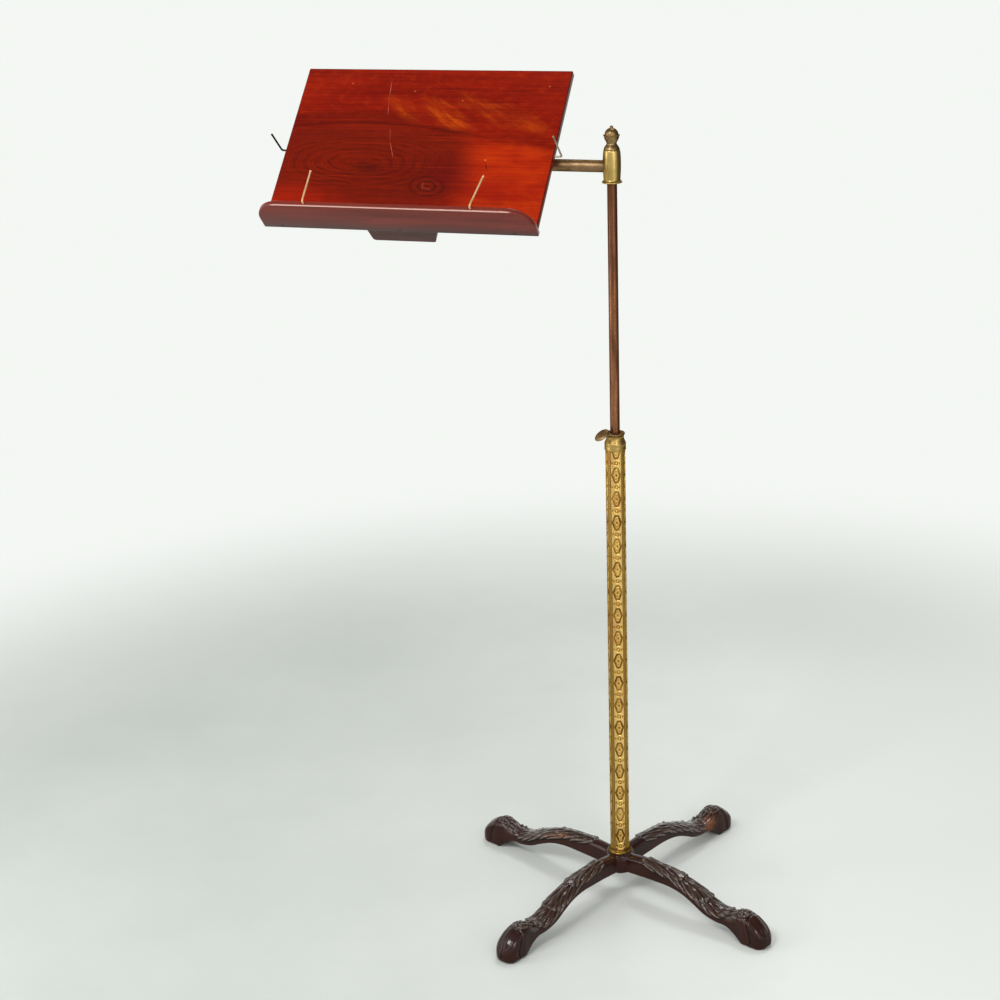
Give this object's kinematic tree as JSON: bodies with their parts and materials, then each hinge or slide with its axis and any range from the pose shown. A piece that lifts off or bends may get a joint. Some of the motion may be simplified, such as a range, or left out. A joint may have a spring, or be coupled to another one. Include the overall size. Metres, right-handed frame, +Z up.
{
  "type": "adjustable reading table",
  "caption": "Reading table with a sloping wooden desk on a swivelling side arm, a sliding rod in an embossed brass column and a cast foot with scrolled legs.",
  "frame": {"origin": "middle of the whole outline seen from above, at floor level", "axes": "+Z up, the arm points to -X, the reader stands at -Y"},
  "size_m": [0.722, 0.498, 1.2029],
  "materials": {
    "cast_iron_foot": "gloss brown paint, worn on the raised leaves",
    "steel": "dull, darkened",
    "gilt_brass": "stamped relief, lacquered, dark in the hollows",
    "brass": "polished, slightly aged",
    "bronze": "aged, dull",
    "rod_copper": "drawn rod with brown patina",
    "board_mahogany": "French polished, high gloss",
    "ledge_mahogany": "polished, soft sheen",
    "block_mahogany": "polished, soft sheen"
  },
  "bodies": {
    "stand": {"base_casting": "cast_iron_foot", "column_liner": "steel", "base_washer": "steel", "base_nut": "steel", "foot_ring": "brass", "column_sheath": "gilt_brass", "column_collar": "brass", "clamp_collet": "brass"},
    "lever": {"clamp_lever": "bronze"},
    "guide": {"rod_guide_plug": "brass"},
    "mast": {"lift_rod": "rod_copper", "guide_screw": "steel", "head_barrel": "brass", "finial": "brass", "head_screw": "steel", "swing_arm": "brass", "arm_pin": "steel", "arm_end_cap": "brass"},
    "carriage": {"arm_sleeve": "brass", "sleeve_collar": "brass", "sleeve_screw": "steel"},
    "desk": {"desk_board": "board_mahogany", "book_ledge": "ledge_mahogany", "ledge_screws": "steel", "tilt_block": "block_mahogany", "block_screws": "steel", "clamp_nut": "brass", "clamp_washer": "brass"},
    "wing_screw": {"tilt_wing_screw": "brass"},
    "left_page_holder": {"page_holder_left": "brass"},
    "right_page_holder": {"page_holder_right": "brass"},
    "left_side_clip": {"side_clip_left": "brass"},
    "right_side_clip": {"side_clip_right": "brass"}
  },
  "joints": [
    {"name": "lever_turn", "type": "hinge", "parent": "stand", "child": "lever", "pos_m": [0.11177, 0, 0.7142], "axis": [0, 0, 1], "range_deg": [0, 70]},
    {"name": "rod_lift", "type": "slide", "parent": "stand", "child": "guide", "axis": [0, 0, 1], "range_m": [-0.29, 0.2]},
    {"name": "mast_swivel", "type": "hinge", "parent": "guide", "child": "mast", "pos_m": [0.11177, 0, 0.397], "axis": [0, 0, 1], "continuous": true},
    {"name": "desk_slide", "type": "slide", "parent": "mast", "child": "carriage", "axis": [1, 0, 0], "range_m": [-0.022, 0.04]},
    {"name": "desk_tilt", "type": "hinge", "parent": "carriage", "child": "desk", "pos_m": [-0.15723, 0, 1.087], "axis": [1, 0, 0], "range_deg": [-45, 40]},
    {"name": "wing_screw_turn", "type": "hinge", "parent": "desk", "child": "wing_screw", "pos_m": [-0.15723, 0.04942, 1.10839], "axis": [0, -0.7096, 0.7046], "range_deg": [0, 150]},
    {"name": "left_page_holder_swing", "type": "hinge", "parent": "desk", "child": "left_page_holder", "pos_m": [-0.27823, -0.1378, 1.05099], "axis": [0, -0.7096, 0.7046], "range_deg": [-90, 90]},
    {"name": "right_page_holder_swing", "type": "hinge", "parent": "desk", "child": "right_page_holder", "pos_m": [-0.04173, -0.1378, 1.05099], "axis": [0, -0.7096, 0.7046], "range_deg": [-79, 101]},
    {"name": "left_side_clip_swing", "type": "hinge", "parent": "desk", "child": "left_side_clip", "pos_m": [-0.35173, -0.01744, 1.10122], "axis": [1, 0, 0], "range_deg": [-94, 86]},
    {"name": "right_side_clip_swing", "type": "hinge", "parent": "desk", "child": "right_side_clip", "pos_m": [0.03727, -0.01744, 1.10122], "axis": [1, 0, 0], "range_deg": [-94, 86]}
  ]
}
